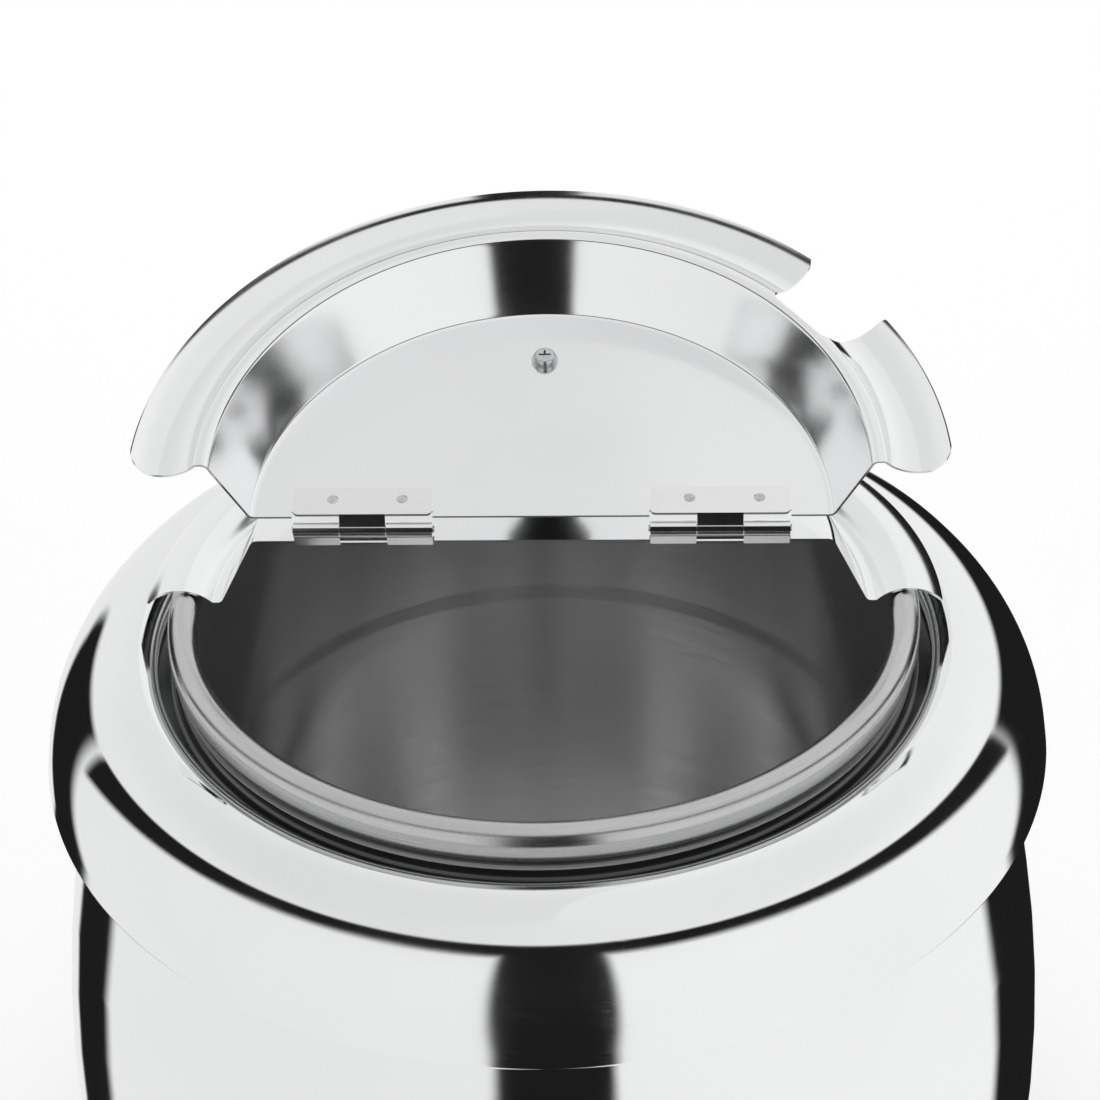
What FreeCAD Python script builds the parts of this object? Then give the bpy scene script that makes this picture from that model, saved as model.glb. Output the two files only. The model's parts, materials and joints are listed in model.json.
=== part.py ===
"""Electric soup kettle, 10 litre class, with a two-part hinged lid.

Frame: millimetres, +Z up, front of the kettle toward -Y, origin on the table under the axis.
The kettle is drawn at rest with the front half of its lid folded back on its knob.
One STEP file is written for each separate piece.
"""
import FreeCAD, Part
import math
import os

V = FreeCAD.Vector
X, Y, Z = V(1, 0, 0), V(0, 1, 0), V(0, 0, 1)
ORIGIN = V(0, 0, 0)

# ---- driving dimensions, millimetres ----
SHEET = 0.8                 # stainless sheet of body, collar, tank, pot and lid
RIM_TOP = 300.6             # top of the pot's rolled rim

POT_RADIUS = 116.0          # inside, above the fill line
POT_FLOOR = 60.0            # inside
POT_STEP = 0.3              # the pot is this much narrower below the fill line
STEP_HEIGHT = 6.0
FILL_LINE = 222.0
RIM_WIDTH = 9.9
RIM_DEPTH = 12.4

TANK_RADIUS = 120.6         # inside of the water tank
TANK_FLOOR = 48.8
POT_SEAT = 0.2              # running gap under the pot's rim

NECK_RADIUS = 122.7         # outside of the collar's neck
NECK_FOOT = 278.2          # where the neck meets the slope up to the collar's crown
COLLAR_RADIUS = 170.8       # widest, at the collar's lower edge
COLLAR_BOTTOM = 246.3

BELLY_RADIUS = 175.3
BELLY_Z = 105.0
BODY_TOP_RADIUS = 158.4
UPPER_CURVE = 500.0         # curve of the body above the belly
LOWER_CURVE = 128.0         # and below it
UPPER_RISE = 98.9           # height over which the body leans in
BODY_BOTTOM = 48.2

SKIRT_WALL = 3.0
SKIRT_TOP_RADIUS = 159.5
SKIRT_BOTTOM_RADIUS = 156.0
SKIRT_BOTTOM = 12.0
PLATE = 1.2                 # steel base plate
PLATE_RADIUS = 154.0
FOOT_RADIUS = 13.0
FOOT_CIRCLE = 122.0

PLATEAU_TOP = 322.1         # lid
PLATEAU_RADIUS = 96.4
VALLEY_RADIUS = 108.6
VALLEY_TOP = 297.1
VALLEY_WIDTH = 3.0
ARCH_RADIUS = 15.0          # curve over the arch's crest
ARCH_HALF = 11.05           # half the arch's width
LID_GAP = 0.5               # each half stops this far from the hinge line
OPEN_ANGLE = 166.7          # from closed to folded back

HINGE_RISE = 4.9            # pin above the lid's top surface
HINGE_X = 59.0              # middle of each hinge
LEAF_LENGTH = 46.0
LEAF_DEPTH = 12.5
LEAF = 1.0
KNUCKLE_RADIUS = 2.8
KNUCKLE_GAP = 0.2
NOTCH_DEPTH = 2.8           # of the lid's edge at each hinge
PIN_RADIUS = 1.2
RUNNING = 0.05              # radial clearance where a joint turns

KNOB_Y = -73.0
KNOB_HEIGHT = 24.14
NOTCH_ANGLE = 38.3          # ladle notch, from +X toward the front
NOTCH_ROOT = 110.0

PANEL_FACE = 168.0          # front of the control housing, as a distance from the axis
DIAL_Z = 30.0
DIAL_RADIUS = 15.5
LAMP_X = 33.0

# ---- worked-out places ----
RIM_BOTTOM = RIM_TOP - RIM_DEPTH
TANK_LIP = RIM_BOTTOM - POT_SEAT
GASKET = 1.2
NECK_TOP = TANK_LIP - SHEET - GASKET
TANK_OUTSIDE = TANK_RADIUS + SHEET
TANK_UNDER = TANK_FLOOR - SHEET
PANEL_UNDER = PLATEAU_TOP - SHEET
LEAF_UNDER = PANEL_UNDER - LEAF
HINGE_Z = PLATEAU_TOP + HINGE_RISE
PLATE_TOP = SKIRT_BOTTOM
PLATE_UNDER = PLATE_TOP - PLATE
SKIRT_TOP = BODY_BOTTOM
SKIRT_LEDGE = SKIRT_TOP - SKIRT_WALL
FLANGE_RADIUS = 144.0       # inner edge of the body's and the skirt's bottom flanges
BASE_SCREW_CIRCLE = 148.5
PILLAR_RADIUS = 4.0         # clear of the skirt's wall
TIE_CIRCLE = 151.0
TIE_ANGLES = (30.0, 150.0, 305.0)


# ---- drawing helpers ----
def polar(radius, degrees, z=0.0):
    """A point at an angle from +X, turning toward +Y."""
    a = math.radians(degrees)
    return V(radius * math.cos(a), radius * math.sin(a), z)


def box(x0, x1, y0, y1, z0, z1):
    return Part.makeBox(x1 - x0, y1 - y0, z1 - z0, V(x0, y0, z0))


def rod(radius, start, direction, length):
    return Part.makeCylinder(radius, length, start, direction)


def ring(outer, inner, z0, z1):
    return rod(outer, V(0, 0, z0), Z, z1 - z0).cut(rod(inner, V(0, 0, z0 - 1), Z, z1 - z0 + 2))


def hexagon(across, start, direction, height):
    """A hexagonal prism, given by its width across flats."""
    corner = across / math.sqrt(3.0)
    points = [polar(corner, 60.0 * i) for i in range(7)]
    prism = Part.Face(Part.makePolygon(points)).extrude(V(0, 0, height))
    prism.Placement = FreeCAD.Placement(start, FreeCAD.Rotation(Z, direction))
    return prism


def edges_of(points, radii):
    """Lines through the points, each inner corner rounded by its radius."""
    edges = []
    start = points[0]
    for before, corner, after, radius in zip(points, points[1:], points[2:], radii):
        if radius <= 0:
            edges.append(Part.makeLine(start, corner))
            start = corner
            continue
        back, ahead = (before - corner).normalize(), (after - corner).normalize()
        half = back.getAngle(ahead) / 2.0
        reach = radius / math.tan(half)
        middle = (back + ahead).normalize()
        first, last = corner + back * reach, corner + ahead * reach
        crown = corner + middle * (radius / math.sin(half) - radius)
        if first.distanceToPoint(start) > 1e-4:
            edges.append(Part.makeLine(start, first))
        edges.append(Part.Arc(first, crown, last).toShape())
        start = last
    if start.distanceToPoint(points[-1]) > 1e-4:
        edges.append(Part.makeLine(start, points[-1]))
    return edges


def offset_right(points, radii, distance):
    """The same path moved to its right side, with its corner radii to match."""
    normals = []
    for a, b in zip(points, points[1:]):
        d = (b - a).normalize()
        normals.append(V(d.z, 0, -d.x))
    moved = [points[0] + normals[0] * distance]
    new_radii = []
    for corner, n, m, radius in zip(points[1:], normals, normals[1:], radii):
        moved.append(corner + (n + m) * (distance / (1.0 + n.dot(m))))
        left_turn = n.x * m.z - n.z * m.x > 0
        new_radii.append(max(radius + distance if left_turn else radius - distance, 0.0))
    moved.append(points[-1] + normals[-1] * distance)
    return moved, new_radii


def turned(outline, radii=None, angle=360.0):
    """A solid turned about Z from (radius, height) points, some corners rounded."""
    points = [V(r, 0, z) for r, z in outline]
    points.append(points[0])
    radii = list(radii or [0.0] * (len(outline) - 1))
    face = Part.Face(Part.Wire(edges_of(points, radii)))
    return face.revolve(ORIGIN, Z, angle)


def turned_sheet(path, radii, thickness=SHEET, angle=360.0):
    """Sheet turned about Z; the path is one surface and the metal lies to its right."""
    points = [V(r, 0, z) for r, z in path]
    other, other_radii = offset_right(points, radii, thickness)
    near, far = edges_of(points, radii), edges_of(other, other_radii)
    caps = [Part.makeLine(points[0], other[0]), Part.makeLine(points[-1], other[-1])]
    edges = Part.sortEdges(near + far + caps)[0]
    return Part.Face(Part.Wire(edges)).revolve(ORIGIN, Z, angle)


def placed_around(shape, count, first=0.0):
    """Copies of a shape spaced evenly about Z."""
    copies = []
    for i in range(count):
        copy = shape.copy()
        copy.rotate(ORIGIN, Z, first + 360.0 * i / count)
        copies.append(copy)
    return copies


def tube(points, radius):
    """A round wire or tube along straight runs joined by tangent arcs."""
    bends = []
    for before, corner, after in zip(points, points[1:], points[2:]):
        back, ahead = before - corner, after - corner
        half = back.getAngle(ahead) / 2.0
        bends.append(0.45 * min(back.Length, ahead.Length) * math.tan(half))
    spine = Part.Wire(edges_of(points, bends))
    section = Part.Wire(Part.makeCircle(radius, points[0], points[1] - points[0]))
    return spine.makePipeShell([section], True, True)


def screw(start, direction, shank, length, head, head_height):
    """A pan-head screw; start is under its head, and direction is the way it is driven."""
    body = rod(shank, start, direction, length)
    cap = rod(head, start - direction * head_height, direction, head_height)
    top = start - direction * head_height
    cap = cap.makeFillet(head_height * 0.45, [e for e in cap.Edges if on_disc(e, top)])
    recess = cross_recess(top, direction, head)
    return body.fuse(cap).removeSplitter().cut(recess)


def on_disc(edge, centre):
    """True for the round edge whose plane goes through the given point."""
    return hasattr(edge.Curve, "Radius") and edge.Curve.Center.distanceToPoint(centre) < 1e-6


def cross_recess(centre, direction, head):
    """A cross-shaped driver recess that narrows as it goes down."""
    arm, width, depth = head * 0.56, head * 0.2, head * 0.36
    slots = []
    for turn in (0, 90):
        top = [V(x * arm, y * width / 2, 0) for x, y in ((-1, -1), (1, -1), (1, 1), (-1, 1))]
        low = [V(p.x * 0.5, p.y * 0.7, depth) for p in top]
        slot = Part.makeLoft([Part.makePolygon(top + top[:1]), Part.makePolygon(low + low[:1])], True)
        slot.rotate(ORIGIN, Z, turn)
        slots.append(slot)
    cross = slots[0].fuse(slots[1])
    cross.Placement = FreeCAD.Placement(centre, FreeCAD.Rotation(Z, direction))
    return cross


def folded(shape):
    """Swing a piece of the front lid half from closed to folded back."""
    shape = shape.copy()
    shape.rotate(V(0, 0, HINGE_Z), X, -OPEN_ANGLE)
    return shape


# ---- pot, tank and shells ----
def soup_pot():
    lower = POT_RADIUS - POT_STEP
    outer = POT_RADIUS + RIM_WIDTH
    curl = RIM_WIDTH / 2.0 - 0.05
    path = [(0, POT_FLOOR), (lower, POT_FLOOR), (lower, FILL_LINE - STEP_HEIGHT),
            (POT_RADIUS, FILL_LINE), (POT_RADIUS, RIM_TOP),
            (outer, RIM_TOP), (outer, RIM_BOTTOM), (POT_RADIUS + 3.9, RIM_BOTTOM)]
    return turned_sheet(path, [11, 12, 12, curl, curl, 4])


def water_tank():
    path = [(0, TANK_FLOOR), (TANK_RADIUS, TANK_FLOOR),
            (TANK_RADIUS, TANK_LIP), (NECK_RADIUS + 2.4, TANK_LIP)]
    return turned_sheet(path, [8, 0.8])


def neck_gasket():
    return ring(NECK_RADIUS + 2.0, TANK_OUTSIDE + 0.2, NECK_TOP, NECK_TOP + GASKET)


def shoulder_collar():
    """Neck, drip moat, crown and shoulder, with a hem turned in at the bottom."""
    path = [(NECK_RADIUS, NECK_TOP), (NECK_RADIUS, NECK_FOOT), (133.08, 288.58), (147.96, 289.36),
            (167.3, 269.6), (COLLAR_RADIUS, COLLAR_BOTTOM), (150.0, COLLAR_BOTTOM)]
    return turned_sheet(path, [1.5, 10, 24.5, 50.8, 1.2])


def outer_body():
    """Barrel shell whose flanges meet the collar's hem and the base skirt."""
    upper = math.atan((BELLY_RADIUS - BODY_TOP_RADIUS) / UPPER_RISE)
    upper_corner = BELLY_Z + UPPER_CURVE * math.tan(upper / 2.0)
    lower = math.asin((BELLY_Z - BODY_BOTTOM) / LOWER_CURVE)
    reach = LOWER_CURVE * math.tan(lower / 2.0)
    lower_corner = BELLY_Z - reach
    bottom_radius = BELLY_RADIUS - (lower_corner - BODY_BOTTOM) * math.tan(lower)
    path = [(149.0, COLLAR_BOTTOM), (BODY_TOP_RADIUS, COLLAR_BOTTOM),
            (BELLY_RADIUS, upper_corner + 0.02), (BELLY_RADIUS, lower_corner - 0.02),
            (bottom_radius, BODY_BOTTOM), (FLANGE_RADIUS, BODY_BOTTOM)]
    shell = turned_sheet(path, [1.5, UPPER_CURVE, LOWER_CURVE, 0.0])
    for angle in TIE_ANGLES:
        shell = shell.cut(rod(2.6, polar(TIE_CIRCLE, angle, BODY_BOTTOM - 1), Z, 3))
    return shell


# ---- base ----
HOUSING_HALF = 46.0         # half the width of the control housing
HOUSING_BACK = 138.0


def base_skirt():
    """Moulded ring with screw pillars; its front is open for the control housing."""
    path = [(FLANGE_RADIUS, SKIRT_TOP), (SKIRT_TOP_RADIUS, SKIRT_TOP),
            (SKIRT_BOTTOM_RADIUS, SKIRT_BOTTOM), (142.0, SKIRT_BOTTOM)]
    shell = turned_sheet(path, [SKIRT_WALL, SKIRT_WALL], SKIRT_WALL)
    pillar = rod(PILLAR_RADIUS, V(BASE_SCREW_CIRCLE, 0, SKIRT_BOTTOM), Z, 18.0)
    for one in placed_around(pillar, 6, 0.0):
        shell = shell.fuse(one)
    shell = shell.removeSplitter()
    for one in placed_around(rod(1.6, V(BASE_SCREW_CIRCLE, 0, SKIRT_BOTTOM - 1), Z, 13.0), 6, 0.0):
        shell = shell.cut(one)
    for angle in TIE_ANGLES:
        shell = shell.cut(rod(2.6, polar(TIE_CIRCLE, angle, SKIRT_LEDGE - 1), Z, 10))
    shell = shell.cut(box(-HOUSING_HALF, HOUSING_HALF, -200, -100, SKIRT_BOTTOM - 1, SKIRT_TOP + 1))
    return shell.cut(rod(6.1, V(0, 140.0, DIAL_Z), Y, 30))


def control_housing():
    """Open-backed box held between the body's flange and the base plate."""
    half = HOUSING_HALF
    housing = box(-half, half, -PANEL_FACE, -HOUSING_BACK, SKIRT_BOTTOM, SKIRT_TOP)
    corners = [e for e in housing.Edges if abs(e.CenterOfMass.y + PANEL_FACE) < 1e-6]
    housing = housing.makeFillet(4.0, corners)
    housing = housing.cut(box(-half + SKIRT_WALL, half - SKIRT_WALL, -PANEL_FACE + SKIRT_WALL, -100,
                              SKIRT_BOTTOM + SKIRT_WALL, SKIRT_TOP - SKIRT_WALL))
    for x, radius in ((0.0, 5.0), (-12.0, 1.6), (12.0, 1.6), (LAMP_X, 5.1)):
        housing = housing.cut(rod(radius, V(x, -PANEL_FACE - 1, DIAL_Z), Y, 6))
    return housing


def base_plate():
    plate = rod(PLATE_RADIUS, V(0, 0, PLATE_UNDER), Z, PLATE)
    slot = box(-2.0, 2.0, 40.0, 70.0, PLATE_UNDER - 1, PLATE_TOP + 1)
    for one in placed_around(slot, 16, 11.25):
        plate = plate.cut(one)
    for one in placed_around(rod(1.8, V(BASE_SCREW_CIRCLE, 0, 0), Z, 20), 6):
        plate = plate.cut(one)
    for one in placed_around(rod(2.6, V(FOOT_CIRCLE, 0, 0), Z, 20), 4, 45.0):
        plate = plate.cut(one)
    return plate


def rubber_feet():
    outline = [(2.6, 4.0), (7.0, 4.0), (7.0, 0.0), (11.0, 0.0),
               (FOOT_RADIUS, PLATE_UNDER), (2.6, PLATE_UNDER)]
    foot = turned(outline, [0, 0.5, 2.0, 0, 0])
    foot.translate(V(FOOT_CIRCLE, 0, 0))
    return placed_around(foot, 4, 45.0)


def foot_screws():
    return placed_around(screw(V(FOOT_CIRCLE, 0, 4.0), Z, 2.5, 13.0, 4.5, 2.8), 4, 45.0)


def foot_nuts():
    nut = hexagon(8.0, V(FOOT_CIRCLE, 0, PLATE_TOP), Z, 4.0)
    return placed_around(nut.cut(rod(2.5, V(FOOT_CIRCLE, 0, 5), Z, 20)), 4, 45.0)


def base_screws():
    return placed_around(screw(V(BASE_SCREW_CIRCLE, 0, PLATE_UNDER), Z, 1.6, 12.0, 3.4, 2.0), 6)


def tank_brackets():
    """Curved feet welded to the tank, which stand on the body's bottom flange."""
    thick, width = 1.5, 12.0
    outline = [(TANK_OUTSIDE, BODY_BOTTOM + SHEET), (157.0, BODY_BOTTOM + SHEET),
               (157.0, BODY_BOTTOM + SHEET + thick), (TANK_OUTSIDE + thick, BODY_BOTTOM + SHEET + thick),
               (TANK_OUTSIDE + thick, 82.0), (TANK_OUTSIDE, 82.0)]
    shapes = []
    for angle in TIE_ANGLES:
        bracket = turned([(r + 0.02, z) for r, z in outline], None, width)
        bracket.rotate(ORIGIN, Z, angle - width / 2.0)
        shapes.append(bracket.cut(rod(2.6, polar(TIE_CIRCLE, angle, BODY_BOTTOM), Z, 5)))
    return shapes


def tie_bolts():
    shapes = []
    for angle in TIE_ANGLES:
        under_head = polar(TIE_CIRCLE, angle, BODY_BOTTOM + SHEET + 1.5)
        bolt = hexagon(8.0, under_head, Z, 3.5).fuse(rod(2.5, under_head, -Z, 13.0))
        shapes.append(bolt.removeSplitter())
    return shapes


def tie_nuts():
    shapes = []
    for angle in TIE_ANGLES:
        nut = hexagon(8.0, polar(TIE_CIRCLE, angle, SKIRT_LEDGE), -Z, 4.0)
        nut.rotate(polar(TIE_CIRCLE, angle, 0), Z, angle + 30.0)
        shapes.append(nut.cut(rod(2.5, polar(TIE_CIRCLE, angle, 30), Z, 30)))
    return shapes


# ---- heating ----
ELEMENT_RADIUS = 4.2
ELEMENT_CIRCLE = 74.0
ELEMENT_Z = TANK_UNDER - ELEMENT_RADIUS - 0.1
ELEMENT_GAP = 16.0          # half the opening between the element's ends, degrees
CLAMP_TOP = ELEMENT_Z - ELEMENT_RADIUS - 0.1
CLAMP = 1.5


def heating_element():
    """Tubular ring under the tank whose two ends turn down to their terminals."""
    bar = Part.makeTorus(ELEMENT_CIRCLE, ELEMENT_RADIUS, V(0, 0, ELEMENT_Z), Z, 0, 360, 360 - 2 * ELEMENT_GAP)
    bar.rotate(ORIGIN, Z, 90 + ELEMENT_GAP)
    for side in (-1, 1):
        end = polar(ELEMENT_CIRCLE, 90 + side * ELEMENT_GAP, ELEMENT_Z)
        bar = bar.fuse(Part.makeSphere(ELEMENT_RADIUS, end)).fuse(rod(ELEMENT_RADIUS, end, -Z, 12))
        bar = bar.fuse(rod(1.6, end, -Z, 20))
    return bar.removeSplitter()


def element_clamp():
    plate = rod(88.0, V(0, 0, CLAMP_TOP - CLAMP), Z, CLAMP)
    plate = plate.cut(rod(4.2, V(0, 0, CLAMP_TOP - 5), Z, 10))
    for side in (-1, 1):
        plate = plate.cut(rod(6.0, polar(ELEMENT_CIRCLE, 90 + side * ELEMENT_GAP, CLAMP_TOP - 5), Z, 10))
    for side in (-1, 1):
        plate = plate.cut(rod(1.6, V(side * 12.0, -45.0, CLAMP_TOP - 5), Z, 10))
    return plate


def clamp_stud():
    return rod(4.0, V(0, 0, TANK_UNDER), -Z, 20.0)


def clamp_nut():
    low = CLAMP_TOP - CLAMP
    washer = rod(9.0, V(0, 0, low), -Z, 1.2)
    return hexagon(13.0, V(0, 0, low - 1.2), -Z, 6.0).fuse(washer).removeSplitter().cut(
        rod(4.0, V(0, 0, 20), Z, 40))


def thermal_cutout():
    low = CLAMP_TOP - CLAMP
    can = rod(8.0, V(0, -45, low), -Z, 6.0).fuse(box(-16, 16, -49, -41, low - 1.0, low))
    for side in (-1, 1):
        can = can.cut(rod(1.6, V(side * 12.0, -45.0, low - 5), Z, 10))
        can = can.fuse(box(side * 4 - 0.4, side * 4 + 0.4, -48, -42, low - 12, low - 6))
    return can.removeSplitter()


def cutout_screws():
    low = CLAMP_TOP - CLAMP - 1.0
    return [screw(V(side * 12.0, -45.0, low), Z, 1.6, 5.0, 3.0, 1.8) for side in (-1, 1)]


# ---- controls ----
STAT_FRONT = -PANEL_FACE + SKIRT_WALL
SPINDLE_RADIUS = 3.0
DIAL_BACK = -PANEL_FACE - 1.3
DIAL_DEPTH = 16.0


def thermostat_body():
    case = box(-18, 18, STAT_FRONT, STAT_FRONT + 24, DIAL_Z - 13.5, DIAL_Z + 12.5)
    case = case.fuse(rod(4.9, V(0, STAT_FRONT - SKIRT_WALL, DIAL_Z), Y, 5))
    for x in (-10.0, 10.0):
        case = case.fuse(box(x - 3.2, x + 3.2, STAT_FRONT + 24, STAT_FRONT + 31, DIAL_Z - 8.4, DIAL_Z - 7.6))
    case = case.removeSplitter().cut(rod(SPINDLE_RADIUS + RUNNING, V(0, -PANEL_FACE - 5, DIAL_Z), Y, 18))
    for x in (-12.0, 12.0):
        case = case.cut(rod(1.6, V(x, STAT_FRONT - 1, DIAL_Z), Y, 10))
    return case


def thermostat_screws():
    face = -PANEL_FACE
    return [screw(V(x, face, DIAL_Z), Y, 1.6, 10.0, 2.6, 1.0) for x in (-12.0, 12.0)]


def thermostat_spindle():
    shaft = rod(SPINDLE_RADIUS, V(0, DIAL_BACK - 13, DIAL_Z), Y, 22)
    flat = box(-5, 5, DIAL_BACK - 14, DIAL_BACK - 1, DIAL_Z + 1.6, DIAL_Z + 5)
    return shaft.cut(flat)


def scale_plate():
    plate = rod(19.5, V(0, -PANEL_FACE, DIAL_Z), -Y, 0.8)
    plate = plate.common(box(-30, 30, -PANEL_FACE - 2, -PANEL_FACE, SKIRT_BOTTOM + 1.5, SKIRT_TOP - 2.5))
    plate = plate.cut(rod(5.2, V(0, -PANEL_FACE + 1, DIAL_Z), -Y, 3))
    for x in (-12.0, 12.0):
        plate = plate.cut(rod(2.9, V(x, -PANEL_FACE + 1, DIAL_Z), -Y, 3))
    return plate


def control_dial():
    """Round knob with a raised grip bar; it stands clear of the screw heads behind it."""
    disc = Part.makeCone(DIAL_RADIUS, DIAL_RADIUS - 1.0, 7.0, V(0, DIAL_BACK, DIAL_Z), -Y)
    rim = [e for e in disc.Edges if on_disc(e, V(0, DIAL_BACK - 7.0, DIAL_Z))]
    disc = disc.makeFillet(1.5, rim)
    reach = DIAL_RADIUS - 1.5
    grip = box(-3.6, 3.6, DIAL_BACK - DIAL_DEPTH, DIAL_BACK - 5, DIAL_Z - reach, DIAL_Z + reach)
    grip = grip.makeFillet(2.0, [e for e in grip.Edges if e.CenterOfMass.y < DIAL_BACK - 6])
    knob = disc.fuse(grip).removeSplitter()
    bore = rod(SPINDLE_RADIUS, V(0, DIAL_BACK + 1, DIAL_Z), -Y, 14)
    keep = box(-5, 5, DIAL_BACK - 14, DIAL_BACK - 1, DIAL_Z + 1.6, DIAL_Z + 5)
    return knob.cut(bore.cut(keep))


def pilot_lamp_body():
    barrel = rod(5.0, V(LAMP_X, -PANEL_FACE, DIAL_Z), Y, 20)
    barrel = barrel.fuse(rod(6.5, V(LAMP_X, -PANEL_FACE, DIAL_Z), -Y, 1.2)).removeSplitter()
    barrel = barrel.cut(rod(4.0, V(LAMP_X, -PANEL_FACE - 2, DIAL_Z), Y, 8))
    for z in (-2.6, 2.6):
        low = DIAL_Z + z - 0.3
        tag = box(LAMP_X - 2, LAMP_X + 2, -PANEL_FACE + 20, -PANEL_FACE + 26, low, low + 0.6)
        barrel = barrel.fuse(tag)
    return barrel.removeSplitter()


def pilot_lamp_lens():
    lens = rod(4.0, V(LAMP_X, -PANEL_FACE + 6, DIAL_Z), -Y, 9)
    return lens.makeFillet(1.5, [e for e in lens.Edges if on_disc(e, V(LAMP_X, -PANEL_FACE - 3, DIAL_Z))])


BULB = polar(TANK_OUTSIDE + 3.3, -77.0, 62.0)
BULB_RADIUS = 3.0


def thermostat_bulb():
    return rod(BULB_RADIUS, BULB, Z, 80.0)


def bulb_clip():
    """Spring strap welded to the tank wall, which holds the bulb."""
    wrap = rod(BULB_RADIUS + 0.8, BULB + V(0, 0, 34), Z, 12)
    wings = ring(TANK_OUTSIDE + 0.82, TANK_OUTSIDE + 0.02, BULB.z + 34, BULB.z + 46)
    sector = turned([(100, 90), (140, 90), (140, 115), (100, 115)], None, 8.0)
    sector.rotate(ORIGIN, Z, -77.0 - 4.0)
    clip = wrap.fuse(wings.common(sector)).removeSplitter()
    clip = clip.cut(rod(BULB_RADIUS, BULB, Z, 80))
    return clip.cut(rod(TANK_OUTSIDE + 0.02, V(0, 0, 80), Z, 50))


def capillary_tube():
    """Fine tube from the back of the thermostat to the foot of its bulb."""
    back = V(14.0, STAT_FRONT + 24, DIAL_Z + 6)
    route = [back, back + V(0, 9, 0), V(BULB.x - 3, BULB.y - 6, 44.0),
             V(BULB.x, BULB.y, 50.0), BULB]
    return tube(route, 0.9)


# ---- supply and wiring ----
TERMINAL_Y = 108.0
LEAD_BORE = 3.6


def cable_gland():
    """Flanged gland whose sleeve reaches as far back as the dial reaches forward."""
    outside, flange = SKIRT_TOP_RADIUS - 0.5, 4.0
    sleeve = DIAL_DEPTH - DIAL_BACK - outside - flange
    gland = rod(9.5, V(0, outside, DIAL_Z), Y, flange)
    gland = gland.fuse(Part.makeCone(7.5, 5.5, sleeve, V(0, outside + flange, DIAL_Z), Y))
    gland = gland.fuse(rod(6.0, V(0, outside - 14, DIAL_Z), Y, 14.0)).removeSplitter()
    return gland.cut(rod(LEAD_BORE, V(0, outside - 20, DIAL_Z), Y, 60))


def gland_nut():
    face = SKIRT_TOP_RADIUS - 7.5
    return hexagon(17.0, V(0, face - 5, DIAL_Z), Y, 4.5).cut(rod(6.0, V(0, face - 10, DIAL_Z), Y, 20))


def terminal_block():
    block = box(-16, 16, TERMINAL_Y - 9, TERMINAL_Y + 9, PLATE_TOP, PLATE_TOP + 15)
    for x in (-10, 0, 10):
        block = block.cut(rod(2.0, V(x, TERMINAL_Y - 20, PLATE_TOP + 6), Y, 40))
        block = block.cut(rod(1.8, V(x, TERMINAL_Y, PLATE_TOP + 9), Z, 20))
    return block


def terminal_screws():
    shapes = []
    for x in (-10, 0, 10):
        head = rod(1.8, V(x, TERMINAL_Y, PLATE_TOP + 9), Z, 4.0)
        slot = box(x - 3, x + 3, TERMINAL_Y - 0.3, TERMINAL_Y + 0.3, PLATE_TOP + 12, PLATE_TOP + 14)
        shapes.append(head.cut(slot))
    return shapes


EARTH = V(40.0, 108.0, PLATE_TOP)


def earth_stud():
    return rod(2.0, EARTH, Z, 12.0)


def earth_nut():
    return hexagon(7.0, EARTH + V(0, 0, 2.0), Z, 3.2).cut(rod(2.0, EARTH, Z, 20))


WIRE_RADIUS = 1.3
WIRE_Z = PLATE_TOP + 6.0


def wire_routes():
    """Insulated wires between the terminals, the thermostat, the cut-out and the element."""
    element_left = polar(ELEMENT_CIRCLE, 90 + ELEMENT_GAP, ELEMENT_Z - 20)
    element_right = polar(ELEMENT_CIRCLE, 90 - ELEMENT_GAP, ELEMENT_Z - 20)
    tag_z, tag_y = DIAL_Z - 8.0, STAT_FRONT + 31
    front = TERMINAL_Y - 9.0
    cut_z = CLAMP_TOP - CLAMP - 12.0
    return {
        "wire_live": [V(-10, front, WIRE_Z), V(-10, front - 14, WIRE_Z), V(-60, 45, WIRE_Z),
                      V(-72, -20, WIRE_Z), V(-50, -85, WIRE_Z), V(-10, -112, tag_z), V(-10, tag_y, tag_z)],
        "wire_switched": [V(10, tag_y, tag_z), V(10, -116, tag_z), V(30, -92, WIRE_Z), V(30, -60, WIRE_Z),
                          V(4, -45, WIRE_Z - 2.6), V(4, -45, cut_z)],
        "wire_element": [V(-4, -45, cut_z), V(-4, -45, WIRE_Z - 2.6), V(-30, -30, WIRE_Z - 2),
                         V(-42, 20, WIRE_Z - 2), V(element_left.x, element_left.y - 8, WIRE_Z - 2),
                         V(element_left.x, element_left.y, WIRE_Z - 2.4), element_left],
        "wire_neutral": [V(10, front, WIRE_Z), V(10, front - 8, WIRE_Z),
                         V(element_right.x, element_right.y + 8, WIRE_Z - 2),
                         V(element_right.x, element_right.y, WIRE_Z - 2.4), element_right],
    }


# ---- lid ----
def lid_sheet():
    """The whole round lid before it is cut in two."""
    valley_end = VALLEY_RADIUS + VALLEY_WIDTH
    path = [(0, PLATEAU_TOP), (PLATEAU_RADIUS, PLATEAU_TOP),
            (VALLEY_RADIUS, VALLEY_TOP), (valley_end, VALLEY_TOP),
            (valley_end + ARCH_HALF, VALLEY_TOP + ARCH_HALF), (valley_end + 2 * ARCH_HALF, VALLEY_TOP)]
    return turned_sheet(path, [3.0, 2.0, 1.0, ARCH_RADIUS])


def knuckle_span(index):
    """Start and width along X of one of a hinge's three knuckles, from the hinge's middle."""
    width = (LEAF_LENGTH - 2 * KNUCKLE_GAP) / 3.0
    return -LEAF_LENGTH / 2.0 + index * (width + KNUCKLE_GAP), width


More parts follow.
